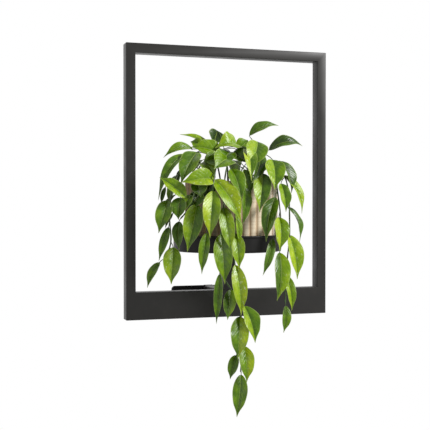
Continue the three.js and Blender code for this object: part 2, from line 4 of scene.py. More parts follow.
import bmesh
import bpy
from mathutils import Matrix, Vector, noise
from mathutils.geometry import interpolate_bezier


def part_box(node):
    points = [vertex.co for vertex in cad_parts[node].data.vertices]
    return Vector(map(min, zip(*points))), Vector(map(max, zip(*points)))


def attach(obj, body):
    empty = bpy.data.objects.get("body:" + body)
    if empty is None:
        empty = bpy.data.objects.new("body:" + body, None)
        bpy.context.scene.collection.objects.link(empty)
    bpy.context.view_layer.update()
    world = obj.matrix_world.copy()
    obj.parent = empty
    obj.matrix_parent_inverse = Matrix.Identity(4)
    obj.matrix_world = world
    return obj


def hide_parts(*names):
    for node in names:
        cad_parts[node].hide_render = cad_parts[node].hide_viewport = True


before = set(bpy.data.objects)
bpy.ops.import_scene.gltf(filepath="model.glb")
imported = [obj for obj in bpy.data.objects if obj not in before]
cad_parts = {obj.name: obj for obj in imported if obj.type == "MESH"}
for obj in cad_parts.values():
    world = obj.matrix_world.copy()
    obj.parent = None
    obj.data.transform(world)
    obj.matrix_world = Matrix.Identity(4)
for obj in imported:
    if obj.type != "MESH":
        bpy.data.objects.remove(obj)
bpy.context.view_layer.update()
random.seed(7)


# ---------------------------------------------------------------- camera
# The planter hangs on a wall and is seen from its left, a little above the tray, with a long lens. The
# place and the turn are fitted to the corners of the welded frame.

CAMERA_PLACE = (-0.62637, -2.08219, 0.22714)
CAMERA_DOWN = 0.749                      # degrees below level
CAMERA_ROUND = 17.22                     # degrees towards the right
CAMERA_LENS = 75.49
camera = bpy.data.objects.new("camera", bpy.data.cameras.new("camera"))
camera.location = CAMERA_PLACE
camera.rotation_euler = (math.radians(90 - CAMERA_DOWN), 0, math.radians(-CAMERA_ROUND))
camera.data.lens = CAMERA_LENS
camera.data.sensor_width = 36
camera.data.clip_end = 30
bpy.context.scene.collection.objects.link(camera)
bpy.context.scene.camera = camera


# ---------------------------------------------------------------- studio
# A wide soft lamp high on the right does most of the lighting, and a weaker one fills in from the left.
# The world is plain white to the eye and in reflections, and dimmer where it lights the object.

def soft_lamp(name, place, aim, size, watts):
    lamp = bpy.data.objects.new(name, bpy.data.lights.new(name, "AREA"))
    lamp.data.size = size
    lamp.data.energy = watts
    lamp.location = place
    lamp.rotation_euler = (Vector(aim) - Vector(place)).to_track_quat("-Z", "Y").to_euler()
    bpy.context.scene.collection.objects.link(lamp)


PLANT_MIDDLE = (0, -0.2, 0.2)
KEY_SIZE = 0.9
KEY_WATTS = 88
FILL_SIZE = 1.6
FILL_WATTS = 12
WORLD_GLOW = 0.26                        # how strongly the white world lights the object
soft_lamp("key_lamp", (1.9, -1.7, 1.7), PLANT_MIDDLE, KEY_SIZE, KEY_WATTS)
soft_lamp("fill_lamp", (-2.4, -1.8, 0.8), PLANT_MIDDLE, FILL_SIZE, FILL_WATTS)

world = bpy.data.worlds.new("studio")
world.use_nodes = True
bpy.context.scene.world = world
world.node_tree.nodes.clear()
seen = world.node_tree.nodes.new("ShaderNodeLightPath")
straight = world.node_tree.nodes.new("ShaderNodeMath")
straight.operation = "MAXIMUM"
either = world.node_tree.nodes.new("ShaderNodeMath")
either.operation = "MAXIMUM"
dim = world.node_tree.nodes.new("ShaderNodeBackground")
dim.inputs["Color"].default_value = (1, 1, 1, 1)
dim.inputs["Strength"].default_value = WORLD_GLOW
white = world.node_tree.nodes.new("ShaderNodeBackground")
white.inputs["Color"].default_value = (1, 1, 1, 1)
choice = world.node_tree.nodes.new("ShaderNodeMixShader")
sky = world.node_tree.nodes.new("ShaderNodeOutputWorld")
for start, end in [
    (seen.outputs["Is Camera Ray"], straight.inputs[0]),
    (seen.outputs["Is Glossy Ray"], straight.inputs[1]),
    (straight.outputs[0], either.inputs[0]),
    (seen.outputs["Is Transmission Ray"], either.inputs[1]),
    (either.outputs[0], choice.inputs[0]),
    (dim.outputs[0], choice.inputs[1]),
    (white.outputs[0], choice.inputs[2]),
    (choice.outputs[0], sky.inputs[0]),
]:
    world.node_tree.links.new(start, end)
bpy.context.scene.view_settings.view_transform = "Standard"


# ---------------------------------------------------------------- wall plate and arm
# A laser-cut steel plate with rounded corners and four countersunk holes is screwed to the wall. A
# rectangular tube is welded to it and reaches out to the frame. All the steel has one black powder coat;
# the plate, the post's head and the tray take a darker copy of it, which is painted shade.

class Flow:
    """An output of a material's node. Python's operators on it add the Math node that does the same."""

    def __init__(self, tree, socket):
        self.tree = tree
        self.socket = socket

    def add(self, kind, settings=None, sockets=None, output=0):
        """Adds a node to this tree: its settings first, then the value or the link of each socket."""
        node = self.tree.nodes.new(kind)
        for name, value in (settings or {}).items():
            if name == "stops":
                for spare in list(node.color_ramp.elements)[2:]:
                    node.color_ramp.elements.remove(spare)
                while len(node.color_ramp.elements) < len(value):
                    node.color_ramp.elements.new(1)
                for element, (place, colour) in zip(node.color_ramp.elements, value):
                    element.position = place
                    element.color = (*colour, 1)
            else:
                setattr(node, name, value)
        for name, value in (sockets or {}).items():
            if isinstance(value, Flow):
                self.tree.links.new(value.socket, node.inputs[name])
            else:
                node.inputs[name].default_value = value
        return Flow(self.tree, node.outputs[output])

    def math(self, operation, *values):
        return self.add("ShaderNodeMath", {"operation": operation}, dict(enumerate(values)))

    def __add__(self, other):
        return self.math("ADD", self, other)

    def __sub__(self, other):
        return self.math("SUBTRACT", self, other)

    def __mul__(self, other):
        return self.math("MULTIPLY", self, other)

    def __truediv__(self, other):
        return self.math("DIVIDE", self, other)

    def __pow__(self, other):
        return self.math("POWER", self, other)

    def __radd__(self, other):
        return self.math("ADD", other, self)

    def __rsub__(self, other):
        return self.math("SUBTRACT", other, self)

    def __rmul__(self, other):
        return self.math("MULTIPLY", other, self)

    def __abs__(self):
        return self.math("ABSOLUTE", self)

    def between(self, low, high, start=0.0, end=1.0):
        """This value's place from low to high, as a smooth step from start to end."""
        return self.add("ShaderNodeMapRange", {"interpolation_type": "SMOOTHSTEP"}, {
            "Value": self, "From Min": low, "From Max": high, "To Min": start, "To Max": end})

    def colours(self, one, other):
        """The first colour where this mask is 0, and the other where it is 1."""
        mixed = {0: self, 6: one, 7: other}
        for place in (6, 7):
            if not isinstance(mixed[place], Flow):
                mixed[place] = (*mixed[place], 1)
        return self.add("ShaderNodeMix", {"data_type": "RGBA"}, mixed, 2)

    def grain(self, scale, detail=3.0, stretch=(1, 1, 1)):
        """Noise over these coordinates, so many to the metre, drawn out where the stretch is low."""
        drawn = self.add("ShaderNodeMapping", None, {"Vector": self, "Scale": stretch})
        return self.add("ShaderNodeTexNoise", None, {"Vector": drawn, "Scale": scale, "Detail": detail})

    def relief(self, height, strength=1.0):
        """A normal from this height map, whose full range is so many metres high."""
        return self.add("ShaderNodeBump", None, {"Height": self, "Distance": height, "Strength": strength})


def new_material(name):
    """An empty material, its shader and its object coordinates."""
    material = bpy.data.materials.new(name)
    material.use_nodes = True
    shader = material.node_tree.nodes["Principled BSDF"]
    coordinates = material.node_tree.nodes.new("ShaderNodeTexCoord")
    return material, shader, Flow(material.node_tree, coordinates.outputs["Object"])


def feed(shader, **sockets):
    """Sets the shader's sockets: Base_Color stands for Base Color."""
    for name, value in sockets.items():
        socket = shader.inputs[name.replace("_", " ")]
        if isinstance(value, Flow):
            value.tree.links.new(value.socket, socket)
        elif isinstance(value, tuple):
            socket.default_value = (*value, 1)
        else:
            socket.default_value = value


def black_coat(name, dark, light, gloss):
    """Satin powder coat: fine orange peel, and faint clouds in its colour and its gloss."""
    material, shader, place = new_material(name)
    clouds = place.grain(9)
    peel = place.grain(900, 2)
    dust = place.grain(60, 5).between(0.45, 0.8)
    feed(shader,
         Base_Color=(clouds * 0.7 + dust * 0.3).colours(dark, light),
         Roughness=clouds.between(0.3, 0.7, 0.36, 0.5),
         Specular_IOR_Level=gloss,
         Normal=peel.relief(0.00004, 0.35))
    return material


coat = black_coat("black_powder_coat", (0.010, 0.0094, 0.0082), (0.022, 0.0202, 0.0176), 0.33)
# The second, darker coat is the same powder coat with painted shade, for the wall plate, the post's head and
# the tray.
shaded_coat = black_coat("painted_shade_black_powder_coat", (0.003, 0.0028, 0.0025), (0.008, 0.0075, 0.0068), 0.22)


SHADE_SHARP = math.radians(35)


def finished(name, mesh, material, body, slot, *nodes):
    """A finished piece from a bmesh: smooth, at the origin, on its body in place of the CAD nodes."""
    data = bpy.data.meshes.new(name)
    mesh.to_mesh(data)
    mesh.free()
    data.shade_smooth()
    data.set_sharp_from_angle(angle=SHADE_SHARP)
    data.materials.append(material)
    piece = bpy.data.objects.new(name, data)
    bpy.context.scene.collection.objects.link(piece)
    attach(piece, body)
    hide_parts(*nodes)
    return piece


SQUARE_EDGE = math.radians(50)


def block(low, high, edge, steps=3, corner=None, along=2):
    """A block with eased edges; the four edges along one axis may have a larger corner radius."""
    mesh = bmesh.new()
    size = Vector(high) - Vector(low)
    middle = (Vector(low) + Vector(high)) / 2
    bmesh.ops.create_cube(mesh, size=1, matrix=Matrix.Translation(middle) @ Matrix.Diagonal((*size, 1)))
    if corner:
        lengthwise = [edge for edge in mesh.edges
                      if abs((edge.verts[0].co - edge.verts[1].co).normalized()[along]) > 0.9]
        bmesh.ops.bevel(mesh, geom=lengthwise, offset=corner, affect="EDGES", segments=8, profile=0.5,
                        material=-1)
    sharp = [e for e in mesh.edges if e.calc_face_angle() > SQUARE_EDGE]
    bmesh.ops.bevel(mesh, geom=sharp, offset=edge, affect="EDGES", segments=steps, profile=0.5, material=-1)
    return mesh


def turned(profile, segments, middle=(0, 0, 0)):
    """A shape turned about Z from a profile of (radius, height) points, closed where it meets Z."""
    mesh = bmesh.new()
    points = [mesh.verts.new((radius, 0, height)) for radius, height in profile]
    edges = [mesh.edges.new(pair) for pair in zip(points, points[1:])]
    bmesh.ops.spin(mesh, geom=points + edges, cent=(0, 0, 0), axis=(0, 0, 1), angle=2 * math.pi,
                   steps=segments, use_merge=True)
    bmesh.ops.remove_doubles(mesh, verts=mesh.verts, dist=1e-6)
    bmesh.ops.recalc_face_normals(mesh, faces=mesh.faces)
    bmesh.ops.translate(mesh, verts=mesh.verts, vec=middle)
    return mesh


def carved(mesh, cutters):
    """The mesh with the cutters' shapes taken out of it."""
    bodies = []
    for shape in [mesh, *cutters]:
        data = bpy.data.meshes.new("carving")
        shape.to_mesh(data)
        shape.free()
        bodies.append(bpy.data.objects.new("carving", data))
        bpy.context.scene.collection.objects.link(bodies[-1])
    for cutter in bodies[1:]:
        step = bodies[0].modifiers.new("cut", "BOOLEAN")
        step.object = cutter
        step.solver = "EXACT"
    result = bmesh.new()
    result.from_object(bodies[0], bpy.context.evaluated_depsgraph_get())
    for body in bodies:
        bpy.data.objects.remove(body)
    return result


def bead(points, radius, closed, ripple):
    """A round weld bead, stem or stalk along the points, a little uneven, as a mesh."""
    line = bpy.data.curves.new("bead", "CURVE")
    line.dimensions = "3D"
    line.bevel_depth = 1
    line.bevel_resolution = 3
    line.use_fill_caps = True
    spline = line.splines.new("POLY")
    spline.points.add(len(points) - 1)
    spline.use_cyclic_u = closed
    for point, place in zip(spline.points, points):
        point.co = (*place, 1)
        point.radius = radius * (1 + ripple * noise.noise(Vector(place) * 400))
    holder = bpy.data.objects.new("bead", line)
    bpy.context.scene.collection.objects.link(holder)
    shape = bpy.data.meshes.new_from_object(holder.evaluated_get(bpy.context.evaluated_depsgraph_get()))
    bpy.data.objects.remove(holder)
    return shape


def ring_round(low, high, y):
    """Points round an upright rectangle in the plane at y, for a weld's bead."""
    (left, bottom), (right, top) = low, high
    corners = [(left, bottom), (right, bottom), (right, top), (left, top)]
    places = []
    for (x0, z0), (x1, z1) in zip(corners, corners[1:] + corners[:1]):
        count = max(2, round(math.hypot(x1 - x0, z1 - z0) / WELD_STEP))
        places += [(x0 + (x1 - x0) * i / count, y, z0 + (z1 - z0) * i / count) for i in range(count)]
    return places


PLATE_EDGE = 0.0005
PLATE_CORNER = 0.008
WALL_HOLE_INSET = 0.015
WALL_HOLE_RADIUS = 0.0032
WALL_HOLE_HEAD_RADIUS = 0.006
PAST = 0.001                             # how far a cutter reaches past the face that it cuts
low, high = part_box("wall_plate")
plate = block(low, high, PLATE_EDGE, 2, PLATE_CORNER, 1)
thickness = high.y - low.y
countersink = WALL_HOLE_HEAD_RADIUS - WALL_HOLE_RADIUS
holes = []
for x in (low.x + WALL_HOLE_INSET, high.x - WALL_HOLE_INSET):
    for z in (low.z + WALL_HOLE_INSET, high.z - WALL_HOLE_INSET):
        hole = turned([(0, -PAST), (WALL_HOLE_RADIUS, -PAST), (WALL_HOLE_RADIUS, thickness - countersink),
                       (WALL_HOLE_HEAD_RADIUS + PAST, thickness + PAST), (0, thickness + PAST)], 32)
        bmesh.ops.rotate(hole, verts=hole.verts, matrix=Matrix.Rotation(math.pi / 2, 3, "X"))
        bmesh.ops.translate(hole, verts=hole.verts, vec=(x, high.y, z))
        holes.append(hole)
# the plate's darker coat is painted shade
finished("wall_plate_coated", carved(plate, holes), shaded_coat, "steelwork", "black_coat", "wall_plate")

WELD_RADIUS = 0.0011
WELD_INSET = 0.0006
WELD_STEP = 0.0008
TUBE_CORNER = 0.0015
low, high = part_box("bracket_arm")
arm = block(low, high, TUBE_CORNER)
for y in (low.y + WELD_INSET, high.y - WELD_INSET):
    arm.from_mesh(bead(ring_round((low.x, low.z), (high.x, high.z), y), WELD_RADIUS, True, 0.25))
finished("bracket_arm_welded", arm, coat, "steelwork", "black_coat", "bracket_arm")


# ---------------------------------------------------------------- welded frame
# Two uprights, a top rail and a taller bottom rail, all of rectangular steel tube, are welded, capped and
# ground flush before the coat goes on, so the frame reads as one crisp shape with lightly rounded edges.

FRAME_EDGE = 0.0013
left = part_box("frame_left_upright")
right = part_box("frame_right_upright")
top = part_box("frame_top_rail")
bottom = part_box("frame_bottom_rail")
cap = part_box("left_bottom_cap")
bar = left[1].x - left[0].x
outside = (Vector((left[0].x, left[0].y, cap[0].z)), Vector((right[1].x, left[1].y, top[1].z)))
rails = bmesh.new()
bmesh.ops.create_grid(rails, x_segments=1, y_segments=1, size=0.5)
bmesh.ops.transform(rails, verts=rails.verts, matrix=(
    Matrix.Translation((outside[0] + outside[1]) / 2)
    @ Matrix.Rotation(math.pi / 2, 4, "X")
    @ Matrix.Diagonal((outside[1].x - outside[0].x, outside[1].z - outside[0].z, 1, 1))))
bmesh.ops.inset_region(rails, faces=rails.faces[:], thickness=bar, use_boundary=True, use_even_offset=True)
window = next(face for face in rails.faces if all(
    outside[0].x + bar / 2 < vert.co.x < outside[1].x - bar / 2 for vert in face.verts))
for vert in window.verts:
    if vert.co.z < (outside[0].z + outside[1].z) / 2:
        vert.co.z = bottom[1].z
bmesh.ops.delete(rails, geom=[window], context="FACES_ONLY")
back = bmesh.ops.extrude_face_region(rails, geom=rails.faces[:])
depth = outside[1].y - outside[0].y
bmesh.ops.translate(rails, verts=rails.verts, vec=(0, -depth / 2, 0))
back_corners = [item for item in back["geom"] if isinstance(item, bmesh.types.BMVert)]
bmesh.ops.translate(rails, verts=back_corners, vec=(0, depth, 0))
bmesh.ops.recalc_face_normals(rails, faces=rails.faces)
sharp = [e for e in rails.edges if e.is_manifold and e.calc_face_angle() > SQUARE_EDGE]
bmesh.ops.bevel(rails, geom=sharp, offset=FRAME_EDGE, affect="EDGES", segments=3, profile=0.5, material=-1)
finished("welded_frame", rails, coat, "steelwork", "black_coat",
         "frame_left_upright", "frame_right_upright", "frame_top_rail", "frame_bottom_rail",
         "left_bottom_cap", "right_bottom_cap", "left_top_cap", "right_top_cap")


# ---------------------------------------------------------------- post and head
# A short rectangular tube stands on the bottom rail, and is welded to it. The square plate welded on top
# carries the tray.

low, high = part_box("post")
finished("post_welded", block(low, high, TUBE_CORNER), coat, "steelwork", "black_coat", "post")
HEAD_CORNER = 0.004
low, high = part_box("post_head")
head = block(low, high, PLATE_EDGE, 2, HEAD_CORNER)
# the head's darker coat is painted shade
finished("post_head_coated", head, shaded_coat, "steelwork", "black_coat", "post_head")


# ---------------------------------------------------------------- tray
# Spun from one steel disc, with a rounded bottom corner and a rolled rim, and coated like the frame, drawn
# darker as painted shade. It is screwed down on the post's head, and the ribbed pot stands loose in it.

TRAY_SHEET = 0.0015
TRAY_CORNER = 0.005
TRAY_BEAD = 0.0025


def arc(centre, radius, start, end, steps):
    """Points of (radius, height) along an arc, in degrees."""
    angles = [math.radians(start + (end - start) * i / steps) for i in range(steps + 1)]
    return [(centre[0] + radius * math.cos(a), centre[1] + radius * math.sin(a)) for a in angles]


low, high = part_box("tray")
tray_middle = Vector(((low.x + high.x) / 2, (low.y + high.y) / 2, low.z))
tray_radius = (high.x - low.x) / 2 - TRAY_BEAD
rim_height = high.z - low.z - TRAY_BEAD
corner_centre = (tray_radius - TRAY_CORNER, TRAY_CORNER)
lip = 180 + math.degrees(math.acos(TRAY_SHEET / TRAY_BEAD))
tray = turned([
    (0, 0),
    *arc(corner_centre, TRAY_CORNER, -90, 0, 8),
    *arc((tray_radius, rim_height), TRAY_BEAD, -90, lip, 18),
    *arc(corner_centre, TRAY_CORNER - TRAY_SHEET, 0, -90, 6),
    (0, TRAY_SHEET),
], 144, tray_middle)
finished("tray_spun", tray, shaded_coat, "steelwork", "black_coat", "tray")


# ---------------------------------------------------------------- tray screws and washers
# Four zinc-plated pan-head screws with a hexagon socket hold the tray to the head, each on a rubber washer
# that keeps spilt water from the hole.

def zinc():
    material, shader, place = new_material("zinc_plate")
    feed(shader, Base_Color=place.grain(700).colours((0.5, 0.5, 0.48), (0.68, 0.68, 0.67)), Metallic=1.0,
         Roughness=place.grain(400).between(0.3, 0.7, 0.28, 0.42))
    return material


def washer_rubber():
    material, shader, place = new_material("washer_rubber")
    feed(shader, Base_Color=place.grain(900).colours((0.012, 0.012, 0.012), (0.03, 0.03, 0.03)),
         Roughness=0.8, Normal=place.grain(2500).relief(0.00003))
    return material


SCREW_HEAD_HEIGHT = 0.0026
SCREW_HEAD_RADIUS = 0.0044
SCREW_RADIUS = 0.0023
SOCKET_RADIUS = 0.0016
SOCKET_DEPTH = 0.0015
WASHER_CLEARANCE = 0.00035
WASHER_EDGE = 0.0003
plated = zinc()
rubber = washer_rubber()
for number in (1, 2, 3, 4):
    low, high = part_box(f"tray_screw_{number}")
    middle = Vector(((low.x + high.x) / 2, (low.y + high.y) / 2, high.z - SCREW_HEAD_HEIGHT))
    dome = [(SCREW_HEAD_RADIUS * math.cos(a) ** 0.6, SCREW_HEAD_HEIGHT * (0.3 + 0.7 * math.sin(a)))
            for a in [math.radians(9 * i) for i in range(9)]]
    screw = turned([(0, low.z - middle.z), (SCREW_RADIUS, low.z - middle.z), (SCREW_RADIUS, 0),
                    (SCREW_HEAD_RADIUS, 0), *dome, (0, SCREW_HEAD_HEIGHT)], 32, middle)
    socket = turned([(0, 0), (SOCKET_RADIUS, 0), (SOCKET_RADIUS, 0.003), (0, 0.003)], 6,
                    middle + Vector((0, 0, SCREW_HEAD_HEIGHT - SOCKET_DEPTH)))
    finished(f"tray_screw_{number}_plated", carved(screw, [socket]), plated, "steelwork", "screw_zinc",
             f"tray_screw_{number}")
    low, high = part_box(f"tray_washer_{number}")
    outer = (high.x - low.x) / 2
    thick = high.z - low.z
    inner = SCREW_RADIUS + WASHER_CLEARANCE
    washer = turned([(inner, 0), (outer - WASHER_EDGE, 0), (outer, WASHER_EDGE), (outer, thick - WASHER_EDGE),
                     (outer - WASHER_EDGE, thick), (inner, thick), (inner, 0)], 32,
                    Vector((middle.x, middle.y, low.z)))
    finished(f"tray_washer_{number}_moulded", washer, rubber, "steelwork", "washer_rubber",
             f"tray_washer_{number}")


# ---------------------------------------------------------------- ribbed pot
# Cast in one piece in a cream, travertine-like ceramic, with rounded ribs from foot to rim, sharp valleys
# between them, a smooth inside and a small foot ring with a drain hole.

RIBS = 38
POINTS_PER_RIB = 12
RIB_DEPTH = 0.0026
RIB_ROUNDNESS = 2.4
POT_WALL = 0.008
POT_FLOOR = 0.010
POT_RIM_ROUND = 0.0028
FOOT_WIDTH = 0.013
FOOT_RECESS = 0.006
DRAIN_RADIUS = 0.007


def cream_ceramic():
    """Matt travertine-like body: level bands, pits, a tan stain with painted shade in the valleys, painted
    shade on its left side and painted light on its right side.
    """
    material, shader, place = new_material("cream_travertine")
    bands = place.grain(26, 6, (1, 1, 14))
    streaks = place.grain(70, 4, (1, 1, 9))
    pits = place.grain(520, 2, (1, 1, 2.2)).between(0.62, 0.74)
    hollow = place.add("ShaderNodeAttribute", {"attribute_name": "hollow"}, None, "Fac")
    body = bands.between(0.3, 0.7).colours((0.92, 0.80, 0.60), (0.80, 0.66, 0.46))
    body = (streaks.between(0.5, 0.75) * 0.3).colours(body, (0.58, 0.44, 0.29))
    # painted shade darkens the pot's left side, and painted light pales its right side
    painted_shading_x = place.add("ShaderNodeSeparateXYZ", None, {"Vector": place}, "X")
    body = painted_shading_x.between(-0.095, 0.030, 1.0, 0.0).colours(body, (0.14, 0.095, 0.035))
    body = painted_shading_x.between(0.04, 0.1, 0.0, 0.6).colours(body, (0.86, 0.80, 0.74))
    # the valleys take a tan stain with painted shade, and more painted shade towards their bottoms
    body = (hollow ** 0.8 * 0.8).colours(body, (0.50, 0.31, 0.145))
    body = (hollow.between(0.75, 1.0) * 0.6).colours(body, (0.26, 0.14, 0.06))
    body = (pits * 0.45).colours(body, (0.36, 0.25, 0.15))
    height = streaks * 0.5 - pits
    feed(shader, Base_Color=body, Roughness=bands.between(0.2, 0.8, 0.5, 0.68),
         Normal=height.relief(0.0004, 0.5))
    return material


low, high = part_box("ribbed_pot")
pot_radius = (high.x - low.x) / 2
pot_height = high.z - low.z
pot_middle = Vector(((low.x + high.x) / 2, (low.y + high.y) / 2, low.z))
inner_radius = pot_radius - RIB_DEPTH - POT_WALL
foot_radius = pot_radius - RIB_DEPTH - FOOT_WIDTH
rim_curve = [(POT_RIM_ROUND * (1 - math.cos(a)), POT_RIM_ROUND * (1 - math.sin(a)))
             for a in [math.radians(90 * i / 5) for i in range(6)]]
# each ring is its inset from the ribs' crests, its height, and how much of the ribs it shows
rings = [
    (0.0020, 0.0, 1.0), (0.0006, 0.0006, 1.0), (0.0, 0.002, 1.0),
    *[(0.0, 0.002 + (pot_height - 0.002 - POT_RIM_ROUND) * i / 8, 1.0) for i in range(1, 9)],
    *[(inset, pot_height - drop, 1 - inset / POT_RIM_ROUND * 0.8) for inset, drop in rim_curve[1:]],
    (pot_radius - inner_radius - POT_RIM_ROUND * 0.6, pot_height, 0.0),
    (pot_radius - inner_radius, pot_height - POT_RIM_ROUND * 0.6, 0.0),
    (pot_radius - inner_radius, POT_FLOOR + 0.003, 0.0),
    (pot_radius - inner_radius + 0.003, POT_FLOOR, 0.0),
    (pot_radius - DRAIN_RADIUS, POT_FLOOR, 0.0),
    (pot_radius - DRAIN_RADIUS, FOOT_RECESS, 0.0),
    (pot_radius - foot_radius, FOOT_RECESS, 0.0),
    (pot_radius - foot_radius, 0.0, 0.0),
]
pot = bmesh.new()
hollow_layer = pot.verts.layers.float.new("hollow")
first = bmesh.ops.create_circle(pot, cap_ends=False, segments=RIBS * POINTS_PER_RIB, radius=1)["verts"]
around = sorted(first, key=lambda vert: math.atan2(vert.co.y, vert.co.x))
loops = []
for inset, height, shown in rings:
    ring = []
    for i, vert in enumerate(around):
        across = (i % POINTS_PER_RIB) / POINTS_PER_RIB
        valley = abs(2 * across - 1) ** RIB_ROUNDNESS
        radius = pot_radius - inset - RIB_DEPTH * valley * shown
        angle = 2 * math.pi * i / len(around)
        ring.append((radius * math.cos(angle), radius * math.sin(angle), height, valley * shown))
    loops.append(ring)
edges = list({edge for vert in first for edge in vert.link_edges})
current = around
for number, ring in enumerate(loops):
    if number:
        grown_ring = bmesh.ops.extrude_edge_only(pot, edges=edges)["geom"]
        edges = [item for item in grown_ring if isinstance(item, bmesh.types.BMEdge)]
        # the extrusion copies each vertex where it stands, so its place tells which one it was
        copies = {tuple(round(c, 7) for c in item.co): item for item in grown_ring
                  if isinstance(item, bmesh.types.BMVert)}
        current = [copies[tuple(round(c, 7) for c in vert.co)] for vert in current]
        edges = [edge for edge in edges if edge.verts[0] in set(current) and edge.verts[1] in set(current)]
    for vert, (x, y, z, hollow) in zip(current, ring):
        vert.co = (x, y, z)
        vert[hollow_layer] = hollow
bmesh.ops.bridge_loops(pot, edges=[edge for edge in pot.edges if edge.is_boundary])
bmesh.ops.translate(pot, verts=pot.verts, vec=pot_middle)
bmesh.ops.recalc_face_normals(pot, faces=pot.faces)
finished("ribbed_pot_cast", pot, cream_ceramic(), "pot", "cream_ceramic", "ribbed_pot")


# ---------------------------------------------------------------- nursery pot
# A thin injection-moulded pot with a flat flange round its rim and five drain holes stands loose in the
# ribbed pot. It lifts out with the plant for watering.

def nursery_plastic():
    material, shader, place = new_material("nursery_plastic")
    scuffs = place.grain(140, 4, (1, 1, 0.3)).between(0.55, 0.8)
    feed(shader, Base_Color=scuffs.colours((0.014, 0.0135, 0.013), (0.045, 0.042, 0.038)),
         Roughness=scuffs.between(0, 1, 0.5, 0.75), Normal=place.grain(1100, 2).relief(0.00004, 0.5))
    return material


GROW_WALL = 0.0012
GROW_FLOOR = 0.0015
GROW_FLANGE = 0.005
GROW_TAPER = 0.018
FLANGE_ROLL = 0.0005
DRAIN_HOLES = 5
DRAIN_HOLE_RADIUS = 0.004
DRAIN_CIRCLE = 0.045
low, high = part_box("grow_pot")
pot_axis = Vector(((low.x + high.x) / 2, (low.y + high.y) / 2, 0))
grow_height = high.z - low.z
flange_radius = (high.x - low.x) / 2
top_radius = flange_radius - GROW_FLANGE
bottom_radius = top_radius - GROW_TAPER
grow_pot = turned([
    (0, 0), (bottom_radius - 0.001, 0), (bottom_radius, 0.001),
    (top_radius, grow_height - GROW_WALL), (flange_radius - FLANGE_ROLL, grow_height - GROW_WALL),
    (flange_radius, grow_height - GROW_WALL + FLANGE_ROLL), (flange_radius - FLANGE_ROLL, grow_height),
    (top_radius - GROW_WALL, grow_height), (bottom_radius - GROW_WALL, GROW_FLOOR), (0, GROW_FLOOR),
], 96, pot_axis + Vector((0, 0, low.z)))
drains = []
for number in range(DRAIN_HOLES):
    angle = 2 * math.pi * number / DRAIN_HOLES
    spot = pot_axis + Vector((DRAIN_CIRCLE * math.cos(angle), DRAIN_CIRCLE * math.sin(angle), low.z))
    drains.append(turned([(0, -0.001), (DRAIN_HOLE_RADIUS, -0.001), (DRAIN_HOLE_RADIUS, GROW_FLOOR + 0.001),
                          (0, GROW_FLOOR + 0.001)], 20, spot))
finished("grow_pot_moulded", carved(grow_pot, drains), nursery_plastic(), "plant", "nursery_plastic",
         "grow_pot")


# ---------------------------------------------------------------- soil
# Loose potting mix of peat and bark fills the nursery pot to a little below its rim: an uneven surface
# with bark chips pressed into it.

def potting_soil():
    material, shader, place = new_material("peat_and_bark")
    crumbs = place.grain(420, 5)
    feed(shader, Base_Color=crumbs.between(0.35, 0.7).colours((0.012, 0.008, 0.005), (0.075, 0.045, 0.025)),
         Roughness=0.95, Normal=crumbs.relief(0.0012, 0.8))
    return material


SOIL_ROUGHNESS = 0.0012
SOIL_RINGS = 26
CHIPS = 260
CHIP_LENGTH = (0.003, 0.009)
CHIP_BREADTH = 0.55                      # of its length
CHIP_THICKNESS = 0.0016
CHIP_SINK = 0.0006
CHIP_TILT = 0.25                         # radians
CHIP_TO_WALL = 0.006
low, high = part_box("soil")
soil_top = high.z
top_edge = (high.x - low.x) / 2
floor_edge = top_edge - GROW_TAPER * (high.z - low.z) / grow_height
soil = turned([(0, low.z), (floor_edge, low.z), (top_edge, high.z - SOIL_ROUGHNESS),
               *[(top_edge * (1 - i / SOIL_RINGS), high.z - SOIL_ROUGHNESS)
                 for i in range(1, SOIL_RINGS + 1)]], 96, pot_axis)
for vert in soil.verts:
    if vert.co.z > high.z - 1.5 * SOIL_ROUGHNESS:
        vert.co.z += SOIL_ROUGHNESS * noise.noise(vert.co * 260)
for number in range(CHIPS):
    reach = (top_edge - CHIP_TO_WALL) * math.sqrt(random.random())
    angle = random.uniform(0, 2 * math.pi)
    length = random.uniform(*CHIP_LENGTH)
    turn = (Matrix.Rotation(random.uniform(0, math.pi), 4, "Z")
            @ Matrix.Rotation(random.uniform(-CHIP_TILT, CHIP_TILT), 4, "X"))
    chip_place = pot_axis + Vector((reach * math.cos(angle), reach * math.sin(angle), high.z - CHIP_SINK))
    chip = bmesh.ops.create_icosphere(soil, subdivisions=1, radius=0.5, matrix=(
        Matrix.Translation(chip_place) @ turn
        @ Matrix.Diagonal((length, length * CHIP_BREADTH, CHIP_THICKNESS, 1))))
    for vert in chip["verts"]:
        vert.co += Vector((0.0004, 0.0004, 0.0002)) * noise.noise(vert.co * 900)
finished("soil_filled", soil, potting_soil(), "plant", "potting_soil", "soil")


# ---------------------------------------------------------------- leaves and stems
# A trailing house plant rooted in twelve places. Each vine is one round green stem with a thin stalk to
# each leaf; the leaves are waxy, folded along a pale midrib, with a pointed drip tip.

LEAF_ROWS = 22
LEAF_COLUMNS = 10
LEAF_THICKNESS = 0.0006
LEAF_FOLD = 0.38                         # radians that each half is folded up
LEAF_SWELL = 0.74                        # below 1, the widest place moves towards the base
LEAF_FULLNESS = 0.82                     # below 1, the outline is rounder
DRIP_TIP = 0.55                          # how much of its width the tip loses
DRIP_START = 0.68                        # where the tip starts to narrow, along the leaf
DRIP_LENGTH = 0.27
LEAF_SWEEP = 0.025                       # of its length, that a leaf bends to either side
MARGIN_WAVES = (1.3, 2.2)
MARGIN_WAVE_HEIGHT = (0.04, 0.12)        # of its half width
MILLIMETRE = 0.001


